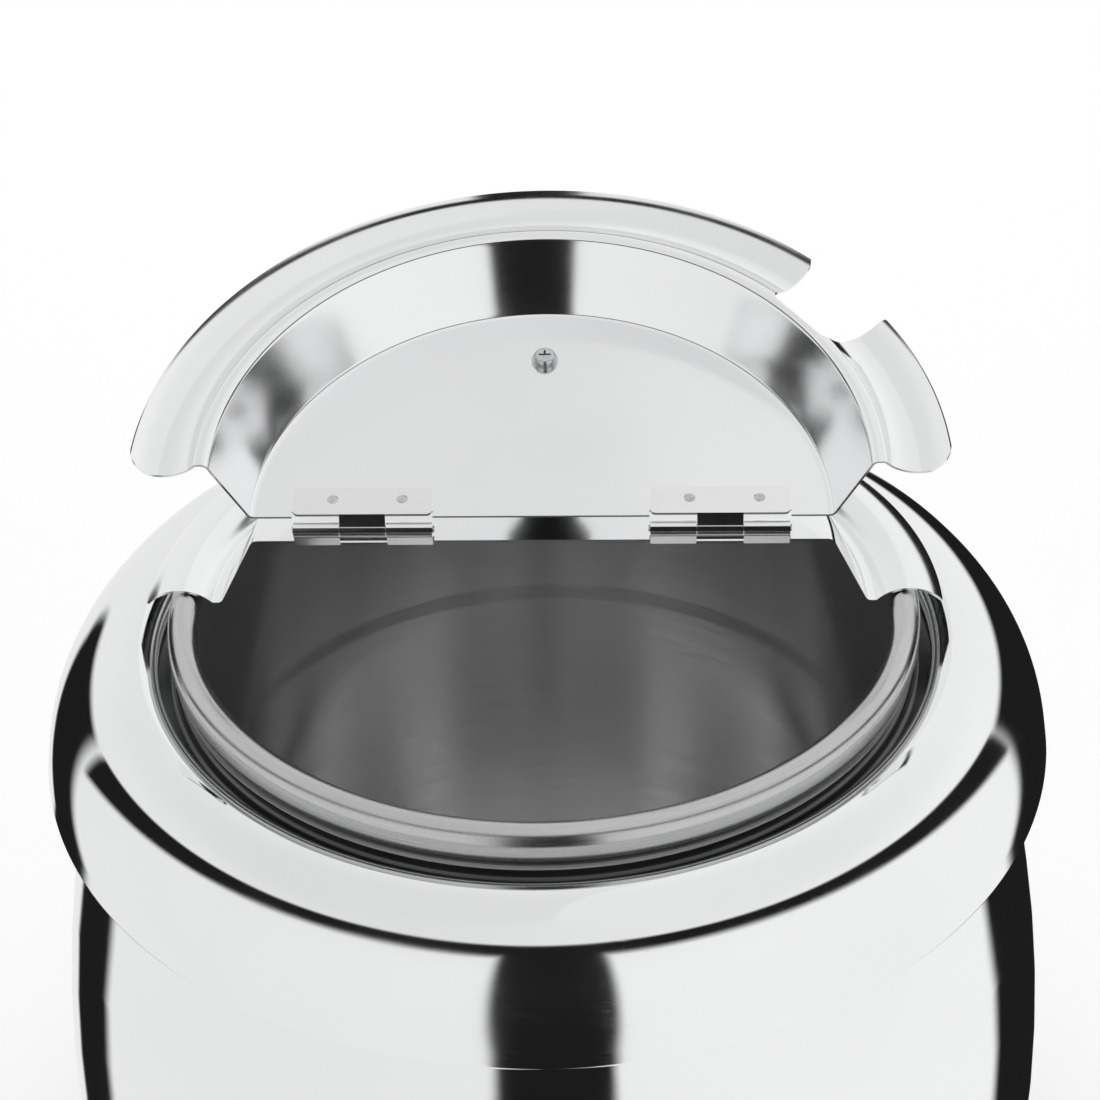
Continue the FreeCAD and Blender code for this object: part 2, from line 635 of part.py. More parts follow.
def hinge_notch(middle, side):
    """Clearance in a lid half for the hinge straps that come up through its edge."""
    half = LEAF_LENGTH / 2.0 + 0.3
    y0, y1 = sorted((0.0, side * NOTCH_DEPTH))
    return box(middle - half, middle + half, y0, y1, PANEL_UNDER - 1, PLATEAU_TOP + 1)


def rivet_places(side):
    return [V(hinge + dx, side * 7.3, 0) for hinge in (-HINGE_X, HINGE_X) for dx in (-10.0, 13.0)]


def lid_half(side):
    """side is +1 for the rear half and -1 for the front half."""
    y0, y1 = sorted((side * LID_GAP, side * 200.0))
    half = lid_sheet().common(box(-200, 200, y0, y1, 250, 350))
    for middle in (-HINGE_X, HINGE_X):
        half = half.cut(hinge_notch(middle, side))
    for place in rivet_places(side):
        half = half.cut(rod(1.55, place + V(0, 0, PANEL_UNDER - 1), Z, 4))
    return half


def ladle_notch():
    """Opening in the front half's flange that lets a ladle handle stand out."""
    mouth, root_half, mouth_half, lead = 133.0, 15.0, 18.0, 32.0
    outline = [V(150, 0, 0), V(150, -lead, 0), V(mouth, -lead, 0), V(mouth, -mouth_half, 0),
               V(NOTCH_ROOT, -root_half, 0), V(NOTCH_ROOT, root_half, 0), V(mouth, mouth_half, 0),
               V(mouth, lead, 0), V(150, lead, 0), V(150, 0, 0)]
    tool = Part.Face(Part.Wire(edges_of(outline, [0, 0, 5, 5, 5, 5, 0, 0]))).extrude(V(0, 0, 16))
    tool.translate(V(0, 0, VALLEY_TOP - 8))
    tool.rotate(ORIGIN, Z, -NOTCH_ANGLE)
    return tool


def tip_rounding(side):
    """Takes the sharp outer corner off the end of the front half's flange."""
    radius, tip = 7.0, VALLEY_RADIUS + VALLEY_WIDTH + 2 * ARCH_HALF
    corner = box(0, radius + 3, -radius, 3, 0, 30).cut(rod(radius, V(0, -radius, -1), Z, 40))
    corner.translate(V(tip - radius - 0.4, -LID_GAP, VALLEY_TOP - 15))
    return corner if side > 0 else corner.mirror(ORIGIN, X)


def lid_front_panel():
    panel = lid_half(-1).cut(ladle_notch())
    for side in (-1, 1):
        panel = panel.cut(tip_rounding(side))
    return folded(panel.cut(rod(2.15, V(0, KNOB_Y, PANEL_UNDER - 1), Z, 4)))


def hinge_strap(side, x0, width):
    """Sheet that leans up from a leaf's edge and meets the far side of the barrel."""
    lean = V(0, -side * 1.3, HINGE_Z - math.sqrt(KNUCKLE_RADIUS ** 2 - 1.3 ** 2))
    foot = V(0, side * 0.6, LEAF_UNDER)
    across = (lean - foot).normalize().cross(X) * side
    points = [foot, lean, lean + across * 0.95, V(0, side * 1.1, LEAF_UNDER + LEAF), foot]
    strap = Part.Face(Part.makePolygon(points)).extrude(V(width, 0, 0))
    strap.translate(V(x0, 0, 0))
    return strap


def hinge_leaf(middle, side, indexes, bore):
    """A plate under the lid with straps that lean up through its edge and curl round the pin."""
    y0, y1 = sorted((side * 0.6, side * LEAF_DEPTH))
    x0, x1 = middle - LEAF_LENGTH / 2.0, middle + LEAF_LENGTH / 2.0
    leaf = box(x0, x1, y0, y1, LEAF_UNDER, PANEL_UNDER)
    leaf = leaf.makeFillet(2.0, [e for e in leaf.Edges if abs(e.tangentAt(e.FirstParameter).z) > 0.9])
    for index in indexes:
        start, width = knuckle_span(index)
        leaf = leaf.fuse(box(middle + start, middle + start + width, y0, y1, LEAF_UNDER, PANEL_UNDER)
                         .common(box(x0, x1, -3.0, 3.0, LEAF_UNDER, PANEL_UNDER)))
        leaf = leaf.fuse(hinge_strap(side, middle + start, width))
        leaf = leaf.fuse(rod(KNUCKLE_RADIUS, V(middle + start, 0, HINGE_Z), X, width))
    leaf = leaf.removeSplitter().cut(rod(bore, V(x0 - 1, 0, HINGE_Z), X, LEAF_LENGTH + 2))
    for place in rivet_places(side):
        leaf = leaf.cut(rod(1.55, place + V(0, 0, LEAF_UNDER - 1), Z, 4))
    return leaf


def hinge_pin(middle):
    """Plain pin with rounded ends that stand just out of the knuckles."""
    length = LEAF_LENGTH + 1.2
    pin = rod(PIN_RADIUS, V(middle - length / 2.0, 0, HINGE_Z), X, length)
    ends = [e for e in pin.Edges if hasattr(e.Curve, "Radius")]
    return pin.makeFillet(0.4, ends)


def rivets(side):
    """Rivets through leaf and lid with a low head on each side."""
    shapes = []
    for place in rivet_places(side):
        low, high = LEAF_UNDER, PLATEAU_TOP
        rivet = rod(1.5, place + V(0, 0, low), Z, high - low)
        for z, way in ((low, -Z), (high, Z)):
            rivet = rivet.fuse(Part.makeCone(1.9, 1.4, 0.3, place + V(0, 0, z), way))
        dimple = Part.makeCone(0.4, 0.9, 0.3, place + V(0, 0, low), -Z)
        shapes.append(rivet.removeSplitter().cut(dimple))
    return shapes


INSERT_RADIUS = 3.4
INSERT_HEIGHT = 12.0


def lid_knob():
    """Heat-resistant knob: a waisted stem under a round cap."""
    top = PLATEAU_TOP + KNOB_HEIGHT
    outline = [(0, PLATEAU_TOP), (11.0, PLATEAU_TOP), (8.0, PLATEAU_TOP + 8.0),
               (15.0, top - 6.5), (15.0, top - 0.2), (0, top)]
    knob = turned(outline, [1.0, 6.0, 2.0, 3.0, 0.0])
    knob = knob.cut(rod(INSERT_RADIUS, V(0, 0, PLATEAU_TOP - 1), Z, INSERT_HEIGHT + 1))
    knob.translate(V(0, KNOB_Y, 0))
    return folded(knob)


def knob_insert():
    insert = rod(INSERT_RADIUS, V(0, KNOB_Y, PLATEAU_TOP), Z, INSERT_HEIGHT)
    return folded(insert.cut(rod(2.0, V(0, KNOB_Y, PLATEAU_TOP - 1), Z, INSERT_HEIGHT - 1)))


WASHER = 0.8


def knob_washer():
    start = V(0, KNOB_Y, PANEL_UNDER - WASHER)
    return folded(rod(4.6, start, Z, WASHER).cut(rod(2.15, start - Z, Z, 4)))


def knob_screw():
    return folded(screw(V(0, KNOB_Y, PANEL_UNDER - WASHER), Z, 2.0, 10.0, 3.8, 2.4))


# ---- the pieces, one file each ----
def pieces():
    built = {
        "soup_pot": soup_pot(), "water_tank": water_tank(), "neck_gasket": neck_gasket(),
        "shoulder_collar": shoulder_collar(), "outer_body": outer_body(),
        "base_skirt": base_skirt(), "control_housing": control_housing(), "base_plate": base_plate(),
        "rubber_feet": rubber_feet(), "foot_screws": foot_screws(), "foot_nuts": foot_nuts(),
        "base_screws": base_screws(), "tank_brackets": tank_brackets(),
        "tie_bolts": tie_bolts(), "tie_nuts": tie_nuts(),
        "heating_element": heating_element(), "element_clamp": element_clamp(),
        "clamp_stud": clamp_stud(), "clamp_nut": clamp_nut(),
        "thermal_cutout": thermal_cutout(), "cutout_screws": cutout_screws(),
        "thermostat_body": thermostat_body(), "thermostat_screws": thermostat_screws(),
        "thermostat_spindle": thermostat_spindle(), "thermostat_bulb": thermostat_bulb(),
        "bulb_clip": bulb_clip(), "capillary_tube": capillary_tube(),
        "control_dial": control_dial(), "scale_plate": scale_plate(),
        "pilot_lamp_body": pilot_lamp_body(), "pilot_lamp_lens": pilot_lamp_lens(),
        "cable_gland": cable_gland(), "gland_nut": gland_nut(),
        "terminal_block": terminal_block(), "terminal_screws": terminal_screws(),
        "earth_stud": earth_stud(), "earth_nut": earth_nut(),
        "lid_rear_panel": lid_half(1), "lid_front_panel": lid_front_panel(),
        "rear_rivets": rivets(1), "front_rivets": [folded(r) for r in rivets(-1)],
        "lid_knob": lid_knob(), "knob_insert": knob_insert(),
        "knob_washer": knob_washer(), "knob_screw": knob_screw(),
    }
    for name, middle in (("left", -HINGE_X), ("right", HINGE_X)):
        built["hinge_rear_leaf_" + name] = hinge_leaf(middle, 1, (0, 2), PIN_RADIUS)
        built["hinge_front_leaf_" + name] = folded(hinge_leaf(middle, -1, (1,), PIN_RADIUS + RUNNING))
        built["hinge_pin_" + name] = hinge_pin(middle)
    for name, route in wire_routes().items():
        built[name] = tube(route, WIRE_RADIUS)
    return built


def main():
    os.makedirs("parts", exist_ok=True)
    for name, shape in sorted(pieces().items()):
        if isinstance(shape, list):
            shape = Part.makeCompound(shape)
        if not shape.isValid():
            print("not valid:", name)
        shape.exportStep("parts/%s.step" % name)
        print("%-24s %d solid(s) %10.1f mm3" % (name, len(shape.Solids), shape.Volume))


main()
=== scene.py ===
"""Looks of the electric soup kettle: smooth polished shells, a brushed pot, small printed and
moulded details, and a plain white studio. Sizes are millimetres until they reach a mesh."""
import bpy
import bmesh
import json
import math
from mathutils import Matrix, Vector


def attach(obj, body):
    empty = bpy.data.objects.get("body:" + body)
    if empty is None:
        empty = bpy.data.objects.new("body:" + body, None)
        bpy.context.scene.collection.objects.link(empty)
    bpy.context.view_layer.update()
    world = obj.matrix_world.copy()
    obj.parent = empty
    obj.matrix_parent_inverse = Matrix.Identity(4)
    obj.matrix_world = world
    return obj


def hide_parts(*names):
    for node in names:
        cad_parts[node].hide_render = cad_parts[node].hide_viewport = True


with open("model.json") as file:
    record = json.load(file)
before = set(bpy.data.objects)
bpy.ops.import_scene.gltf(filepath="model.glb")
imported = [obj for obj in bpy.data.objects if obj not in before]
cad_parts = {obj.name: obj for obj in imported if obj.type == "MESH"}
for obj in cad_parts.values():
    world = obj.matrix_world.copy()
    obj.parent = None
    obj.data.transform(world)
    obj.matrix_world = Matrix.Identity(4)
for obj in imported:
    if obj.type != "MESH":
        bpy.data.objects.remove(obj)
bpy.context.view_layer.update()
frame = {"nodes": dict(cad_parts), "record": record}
MM = 0.001

# ---- sizes of the pieces that stand for CAD nodes, as in the CAD source ----
SHEET = 0.8
RIM_TOP, RIM_WIDTH, RIM_DEPTH = 300.6, 9.9, 12.4
RIM_BOTTOM = RIM_TOP - RIM_DEPTH
POT_RADIUS, POT_FLOOR, POT_STEP, STEP_HEIGHT, FILL_LINE = 116.0, 60.0, 0.3, 6.0, 222.0
NECK_RADIUS, NECK_TOP, NECK_FOOT = 122.7, RIM_BOTTOM - 0.2 - SHEET - 1.2, 278.2
COLLAR_RADIUS, COLLAR_BOTTOM = 170.8, 246.3
BELLY_RADIUS, BELLY_Z, BODY_TOP_RADIUS, BODY_BOTTOM = 175.3, 105.0, 158.4, 48.2
UPPER_CURVE, LOWER_CURVE, UPPER_RISE, FLANGE_RADIUS = 500.0, 128.0, 98.9, 144.0
PLATEAU_TOP, PLATEAU_RADIUS = 322.1, 96.4
VALLEY_RADIUS, VALLEY_TOP, VALLEY_WIDTH = 108.6, 297.1, 3.0
ARCH_RADIUS, ARCH_HALF = 15.0, 11.05
LID_GAP, OPEN_ANGLE, HINGE_Z = 0.5, 166.7, PLATEAU_TOP + 4.9
HINGE_X, LEAF_LENGTH, NOTCH_DEPTH = 59.0, 46.0, 2.8
NOTCH_ANGLE, NOTCH_ROOT = 38.3, 110.0
FLANGE_TIP = VALLEY_RADIUS + VALLEY_WIDTH + 2 * ARCH_HALF
DIAL_Z, DIAL_FACE, SCALE_FACE = 30.0, -185.3, -168.8

# ---- fineness of the meshes ----
BODY_SEGMENTS, ROUND_SEGMENTS, LID_SEGMENTS = 320, 256, 240
FINE_STEP, COARSE_STEP, FINE_FROM = 2.5, 5.0, 6.0    # degrees in a corner, by its radius
LONGEST_RUN = 12.0                                   # between points on a straight, in mm
MERGE = 2e-7                                         # metres
SHARP_EDGE = math.radians(35.0)


# ---- outlines ----
def rounded(points, radii, counts=None):
    """Points along a path with rounded corners, and how many each corner took."""
    corners = [Vector(p) for p in points]
    arcs, used = [], []
    for i, radius in enumerate(radii):
        before, corner, after = corners[i:i + 3]
        back, ahead = (before - corner).normalized(), (after - corner).normalized()
        half = back.angle(ahead) / 2.0
        turn = math.pi - 2.0 * half
        step = FINE_STEP if radius > FINE_FROM else COARSE_STEP
        count = counts[i] if counts else max(2, math.ceil(math.degrees(turn) / step) + 1)
        used.append(count)
        reach = radius / math.tan(half)
        first, middle = corner + back * reach, (back + ahead).normalized()
        centre = corner + middle * (radius / math.sin(half))
        spoke = first - centre
        sign = 1.0 if back.cross(ahead) < 0 else -1.0
        arc = []
        for j in range(count):
            angle = sign * turn * j / (count - 1)
            c, s = math.cos(angle), math.sin(angle)
            arc.append(centre + Vector((c * spoke.x - s * spoke.y, s * spoke.x + c * spoke.y)))
        arcs.append(arc if radius > 1e-6 else [corner.copy() for _ in range(count)])
    runs = [[corners[0]]] + arcs + [[corners[-1]]]
    out = []
    for run, following in zip(runs, runs[1:]):
        out += run
        a, b = run[-1], following[0]
        length = (b - a).length
        pieces = max(1, math.ceil(length / LONGEST_RUN))
        stops = [0.03, *[k / pieces for k in range(1, pieces)], 0.97]
        out += [a.lerp(b, t) for t in stops]
    return out + [corners[-1]], used


def offset_right(points, radii, distance):
    """The same path moved to its right side, with its corner radii to match."""
    points = [Vector(p) for p in points]
    normals = []
    for a, b in zip(points, points[1:]):
        d = (b - a).normalized()
        normals.append(Vector((d.y, -d.x)))
    moved, new_radii = [points[0] + normals[0] * distance], []
    for corner, n, m, radius in zip(points[1:], normals, normals[1:], radii):
        moved.append(corner + (n + m) * (distance / (1.0 + n.dot(m))))
        left_turn = n.x * m.y - n.y * m.x > 0
        new_radii.append(max(radius + distance if left_turn else radius - distance, 0.0))
    moved.append(points[-1] + normals[-1] * distance)
    return moved, new_radii


def both_faces(path, radii):
    """The two faces of a sheet whose outer or upper one follows the path."""
    near, counts = rounded(path, radii)
    far, _ = rounded(*offset_right(path, radii, SHEET), counts)
    return near, far


# ---- meshes ----
def new_object(name, bm):
    """Turns a bmesh into an object of the scene."""
    mesh = bpy.data.meshes.new(name)
    bm.to_mesh(mesh)
    bm.free()
    piece = bpy.data.objects.new(name, mesh)
    bpy.context.scene.collection.objects.link(piece)
    return piece


def close_up(bm):
    bmesh.ops.remove_doubles(bm, verts=bm.verts, dist=MERGE)
    bmesh.ops.recalc_face_normals(bm, faces=bm.faces)


def finish_mesh(name, bm, body, material):
    close_up(bm)
    return finish_piece(new_object(name, bm), body, material)


def finish_piece(piece, body, material):
    piece.data.shade_smooth()
    piece.data.set_sharp_from_angle(angle=SHARP_EDGE)
    piece.data.materials.clear()
    piece.data.materials.append(material)
    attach(piece, body)
    return piece


def sheet_mesh(near, far, segments, half_gap=None):
    """Sheet between two faces, turned about Z, or the half of it beyond y = half_gap."""
    bm = bmesh.new()
    whole = half_gap is None

    def place(point, step):
        r, z = point
        if whole:
            angle = 2.0 * math.pi * step / segments
        elif r <= half_gap:
            return Vector((0.0, half_gap, z)) * MM
        else:
            start = math.asin(half_gap / r)
            angle = start + (math.pi - 2.0 * start) * step / segments
        return Vector((r * math.cos(angle), r * math.sin(angle), z)) * MM

    steps = segments if whole else segments + 1
    grids = [[[bm.verts.new(place(p, j)) for j in range(steps)] for p in face]
             for face in (near, far)]

    def quad(*verts):
        """A face, unless its corners fall together on the axis."""
        spots = {tuple(round(c, 8) for c in v.co) for v in verts}
        if len(spots) > 2:
            bm.faces.new(verts)

    for grid in grids:
        for a, b in zip(grid, grid[1:]):
            for j in range(segments):
                k = (j + 1) % steps
                quad(a[j], a[k], b[k], b[j])
    for row in (0, -1):
        a, b = grids[0][row], grids[1][row]
        if near[row].x > 1e-6:
            for j in range(segments):
                k = (j + 1) % steps
                quad(a[j], a[k], b[k], b[j])
    if not whole:
        for j in (0, segments):
            for i in range(len(near) - 1):
                quad(grids[0][i][j], grids[0][i + 1][j], grids[1][i + 1][j], grids[1][i][j])
    close_up(bm)
    return bm


def prism(points, z0, z1):
    """A closed prism from an outline in the plane, to cut with."""
    bm = bmesh.new()
    low = [bm.verts.new(Vector((p[0], p[1], z0)) * MM) for p in points]
    high = [bm.verts.new(Vector((p[0], p[1], z1)) * MM) for p in points]
    bm.faces.new(low)
    bm.faces.new(high)
    for i in range(len(points)):
        j = (i + 1) % len(points)
        bm.faces.new((low[i], low[j], high[j], high[i]))
    bmesh.ops.recalc_face_normals(bm, faces=bm.faces)
    return new_object("cutter", bm)


def cut_away(piece, cutters):
    """Takes the cutters' shapes out of a piece and deletes them."""
    for cutter in cutters:
        cut = piece.modifiers.new("cut", "BOOLEAN")
        cut.operation, cut.solver, cut.object = "DIFFERENCE", "EXACT", cutter
    graph = bpy.context.evaluated_depsgraph_get()
    mesh = bpy.data.meshes.new_from_object(piece.evaluated_get(graph))
    piece.modifiers.clear()
    old, piece.data = piece.data, mesh
    bpy.data.meshes.remove(old)
    for cutter in cutters:
        bpy.data.objects.remove(cutter)


def second_look(piece, material, where):
    """Gives another material to the faces whose middle (radius, height) passes the test."""
    piece.data.materials.append(material)
    for face in piece.data.polygons:
        x, y, z = (c / MM for c in face.center)
        if where(math.hypot(x, y), z):
            face.material_index = 1


def stand_in(node):
    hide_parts(node)


# ---- materials ----
class Finish:
    """A Principled material built a few nodes at a time from the object's own coordinates."""

    def __init__(self, name, colour, metallic, rough, **sockets):
        self.material = bpy.data.materials.new(name)
        self.material.use_nodes = True
        self.tree = self.material.node_tree
        self.shader = self.tree.nodes["Principled BSDF"]
        self.base = colour
        self.shader.inputs["Base Color"].default_value = (*colour, 1.0)
        self.shader.inputs["Metallic"].default_value = metallic
        self.shader.inputs["Roughness"].default_value = rough
        for key, value in sockets.items():
            self.shader.inputs[key.replace("_", " ")].default_value = value
        self.place = self.add("ShaderNodeTexCoord").outputs["Object"]
        self.normal = None

    def add(self, kind, **settings):
        node = self.tree.nodes.new(kind)
        for key, value in settings.items():
            setattr(node, key, value)
        return node

    def link(self, a, b):
        self.tree.links.new(a, b)

    def math(self, operation, a, b=0.0):
        node = self.add("ShaderNodeMath", operation=operation)
        for slot, value in zip(node.inputs, (a, b)):
            if isinstance(value, (int, float)):
                slot.default_value = value
            else:
                self.link(value, slot)
        return node.outputs[0]

    def scaled(self, sx, sy, sz, turn):
        mapping = self.add("ShaderNodeMapping")
        mapping.inputs["Scale"].default_value = (sx, sy, sz)
        mapping.inputs["Rotation"].default_value = turn
        self.link(self.place, mapping.inputs["Vector"])
        return mapping.outputs["Vector"]

    def round_place(self, around, along):
        """Coordinates that run in rings about Z: slow around, quick up and outward."""
        split = self.add("ShaderNodeSeparateXYZ")
        self.link(self.place, split.inputs[0])
        x, y, z = split.outputs
        squares = self.math("ADD", self.math("MULTIPLY", x, x), self.math("MULTIPLY", y, y))
        r = self.math("ADD", self.math("SQRT", squares), 1e-5)
        join = self.add("ShaderNodeCombineXYZ")
        self.link(self.math("MULTIPLY", self.math("DIVIDE", x, r), around), join.inputs[0])
        self.link(self.math("MULTIPLY", self.math("DIVIDE", y, r), around), join.inputs[1])
        self.link(self.math("MULTIPLY", self.math("ADD", r, z), along), join.inputs[2])
        return join.outputs[0]

    def noise(self, where, scale=1.0, detail=3.0, rough=0.5):
        node = self.add("ShaderNodeTexNoise")
        self.link(where, node.inputs["Vector"])
        node.inputs["Scale"].default_value = scale
        node.inputs["Detail"].default_value = detail
        node.inputs["Roughness"].default_value = rough
        return node.outputs["Fac"]

    def spread(self, value, low, high, to_low=0.0, to_high=1.0):
        node = self.add("ShaderNodeMapRange", interpolation_type="SMOOTHSTEP")
        self.link(value, node.inputs["Value"])
        limits = {"From Min": low, "From Max": high, "To Min": to_low, "To Max": to_high}
        for key, number in limits.items():
            node.inputs[key].default_value = number
        return node.outputs["Result"]

    def roughness(self, value):
        self.link(value, self.shader.inputs["Roughness"])

    def colour(self, value, other):
        """Mixes the base colour with another by a 0 to 1 value."""
        mix = self.add("ShaderNodeMix", data_type="RGBA")
        self.link(value, mix.inputs["Factor"])
        first, second, result = mix.inputs[6], mix.inputs[7], mix.outputs[2]
        first.default_value = (*self.base, 1.0)
        second.default_value = (*other, 1.0)
        self.link(result, self.shader.inputs["Base Color"])

    def bump(self, height, depth):
        """Adds relief of a depth in mm on top of what is there already."""
        node = self.add("ShaderNodeBump")
        node.inputs["Strength"].default_value = 1.0
        node.inputs["Distance"].default_value = depth * MM
        self.link(height, node.inputs["Height"])
        if self.normal:
            self.link(self.normal, node.inputs["Normal"])
        self.normal = node.outputs["Normal"]
        self.link(self.normal, self.shader.inputs["Normal"])

    def brushed_round(self, amount):
        """Gloss stretched across rings about Z."""
        tangent = self.add("ShaderNodeTangent", direction_type="RADIAL", axis="Z")
        self.shader.inputs["Anisotropic"].default_value = amount
        self.shader.inputs["Anisotropic Rotation"].default_value = 0.25
        self.link(tangent.outputs[0], self.shader.inputs["Tangent"])


def hairlines(f, width=0.012):
    """Sparse fine scratches in three directions, as a 0 to 1 value."""
    total = None
    for turn, seed in ((0.4, 90.0), (1.5, 120.0), (2.5, 75.0)):
        where = f.scaled(6.0, seed * 6.0, seed * 6.0, (turn * 0.5, turn * 0.3, turn))
        band = f.noise(where, 1.0, 1.0)
        line = f.spread(f.math("ABSOLUTE", f.math("SUBTRACT", band, 0.5)), 0.0, width, 1.0, 0.0)
        gate = f.spread(f.noise(f.place, 35.0 + seed * 0.2, 2.0), 0.58, 0.66)
        line = f.math("MULTIPLY", line, gate)
        total = line if total is None else f.math("MAXIMUM", total, line)
    return total


def polished(name, colour=(0.92, 0.925, 0.93), wave=0.10, gloss=(0.030, 0.085)):
    """Mirror steel with smudges, faint turning rings, a slight wave in the sheet and scratches."""
    f = Finish(name, colour, 1.0, 0.05)
    smudge = f.spread(f.noise(f.place, 16.0, 5.0, 0.6), 0.35, 0.75, *gloss)
    rings = f.noise(f.round_place(3.0, 900.0), 1.0, 2.0)
    scratch = hairlines(f)
    rough = f.math("ADD", smudge, f.math("MULTIPLY", rings, 0.02))
    f.roughness(f.math("ADD", rough, f.math("MULTIPLY", scratch, 0.04)))
    f.colour(f.spread(f.noise(f.place, 9.0, 3.0), 0.3, 0.8), tuple(c * 0.96 for c in colour))
    f.bump(f.noise(f.place, 14.0, 2.0), wave)
    f.bump(rings, 0.0012)
    f.bump(scratch, 0.0006)
    return f.material


def brushed(name, colour, rough, amount, depth=0.004, metallic=1.0):
    """Steel brushed in rings about Z, with broad streaks, patches and scratches."""
    f = Finish(name, colour, metallic, rough)
    fine = f.noise(f.round_place(5.0, 2600.0), 1.0, 4.0, 0.65)
    broad = f.noise(f.round_place(3.0, 320.0), 1.0, 3.0)
    patch = f.noise(f.place, 22.0, 4.0)
    scratch = hairlines(f, 0.02)
    value = f.math("ADD", f.math("MULTIPLY", fine, 0.6), f.math("MULTIPLY", broad, 0.4))
    streak = f.spread(value, 0.3, 0.7, rough * 0.75, rough * 1.25)
    f.roughness(f.math("ADD", streak, f.math("MULTIPLY", scratch, 0.03)))
    mixed = f.math("MULTIPLY", value, f.math("ADD", patch, 0.5))
    f.colour(f.spread(mixed, 0.25, 0.75), tuple(c * 0.9 for c in colour))
    f.bump(fine, depth)
    f.bump(patch, 0.006)
    f.brushed_round(amount)
    return f.material


def grained(name, colour, rough, other=None, metallic=0.0, grain=900.0, depth=0.03, **sockets):
    """Moulded, cast or plated surfaces: fine grain, blotchy gloss and slight colour change."""
    f = Finish(name, colour, metallic, rough, **sockets)
    fine = f.noise(f.place, grain, 3.0, 0.6)
    patch = f.noise(f.place, 45.0, 4.0, 0.6)
    gloss = f.spread(patch, 0.3, 0.7, rough * 0.85, rough * 1.2)
    f.roughness(f.math("ADD", gloss, f.math("MULTIPLY", hairlines(f), 0.08)))
    blotch = f.math("ADD", f.math("MULTIPLY", fine, 0.5), f.math("MULTIPLY", patch, 0.5))
    f.colour(f.spread(blotch, 0.35, 0.65), other or tuple(c * 0.8 for c in colour))
    f.bump(fine, depth)
    return f.material


LOOKS = {
    "polished_steel": polished("polished_steel"),
    "lid_steel": polished("lid_steel", (0.93, 0.935, 0.94), 0.06, (0.09, 0.17)),
    "satin_steel": brushed("satin_steel", (0.82, 0.825, 0.82), 0.20, 0.8, 0.0012, 0.91),
    "rim_steel": brushed("rim_steel", (0.60, 0.605, 0.60), 0.24, 0.5, 0.0012),
    # dark copy of the steel for the collar's neck band: painted shade of the narrow gap under the
    # pot's rim and a painted dark reflection of the rim's underside
    "neck_painted_shade": brushed("neck_painted_shade", (0.13, 0.132, 0.132), 0.34, 0.4),
    "tank_steel": brushed("tank_steel", (0.58, 0.58, 0.57), 0.34, 0.5),
    "hinge_steel": grained("hinge_steel", (0.90, 0.90, 0.90), 0.10, (0.88, 0.88, 0.88),
                           1.0, 500.0, 0.0015),
    "zinc_steel": grained("zinc_steel", (0.68, 0.69, 0.70), 0.25, (0.56, 0.57, 0.58),
                          1.0, 700.0, 0.012),
    "black_plastic": grained("black_plastic", (0.022, 0.022, 0.023), 0.42, (0.032, 0.032, 0.033),
                             0.0, 1400.0, 0.03),
    "silicone": grained("silicone", (0.55, 0.56, 0.55), 0.5, (0.48, 0.49, 0.48)),
    "rubber": grained("rubber", (0.03, 0.03, 0.03), 0.75, (0.05, 0.05, 0.048), 0.0, 600.0, 0.06),
    "aluminium_plate": grained("aluminium_plate", (0.80, 0.81, 0.82), 0.3, (0.7, 0.71, 0.72), 1.0),
    "element_sheath": grained("element_sheath", (0.30, 0.26, 0.22), 0.45, (0.20, 0.15, 0.20), 1.0),
    "cream_plastic": grained("cream_plastic", (0.80, 0.76, 0.66), 0.45, (0.72, 0.68, 0.57)),
    "copper": grained("copper", (0.78, 0.42, 0.27), 0.28, (0.55, 0.28, 0.18), 1.0),
    "printed_scale": grained("printed_scale", (0.045, 0.045, 0.05), 0.35, (0.06, 0.06, 0.065),
                             0.0, 500.0, 0.01),
    "lens_orange": grained("lens_orange", (0.85, 0.22, 0.03), 0.12, (0.70, 0.14, 0.02),
                           0.0, 300.0, 0.01, Transmission_Weight=0.35, Coat_Weight=0.6),
    "brass": grained("brass", (0.78, 0.58, 0.25), 0.25, (0.6, 0.42, 0.18), 1.0),
    "wire_brown": grained("wire_brown", (0.20, 0.09, 0.045), 0.5, (0.26, 0.13, 0.07)),
    "wire_blue": grained("wire_blue", (0.05, 0.15, 0.48), 0.5, (0.08, 0.20, 0.52)),
    "white_print": grained("white_print", (0.85, 0.85, 0.83), 0.5, (0.75, 0.75, 0.73),
                           0.0, 500.0, 0.01),
}
# nodes whose look differs from their slot's
SPECIAL = {"water_tank": "tank_steel"}
for half in ("rear", "front"):
    for hand in ("left", "right"):
        SPECIAL[f"hinge_{half}_leaf_{hand}"] = "hinge_steel"

for part in frame["record"]["subparts"]:
    node = frame["nodes"][part["node"]]
    look = LOOKS[SPECIAL.get(part["node"], part["material_slot"])]
    for slot in node.material_slots:
        slot.material = look


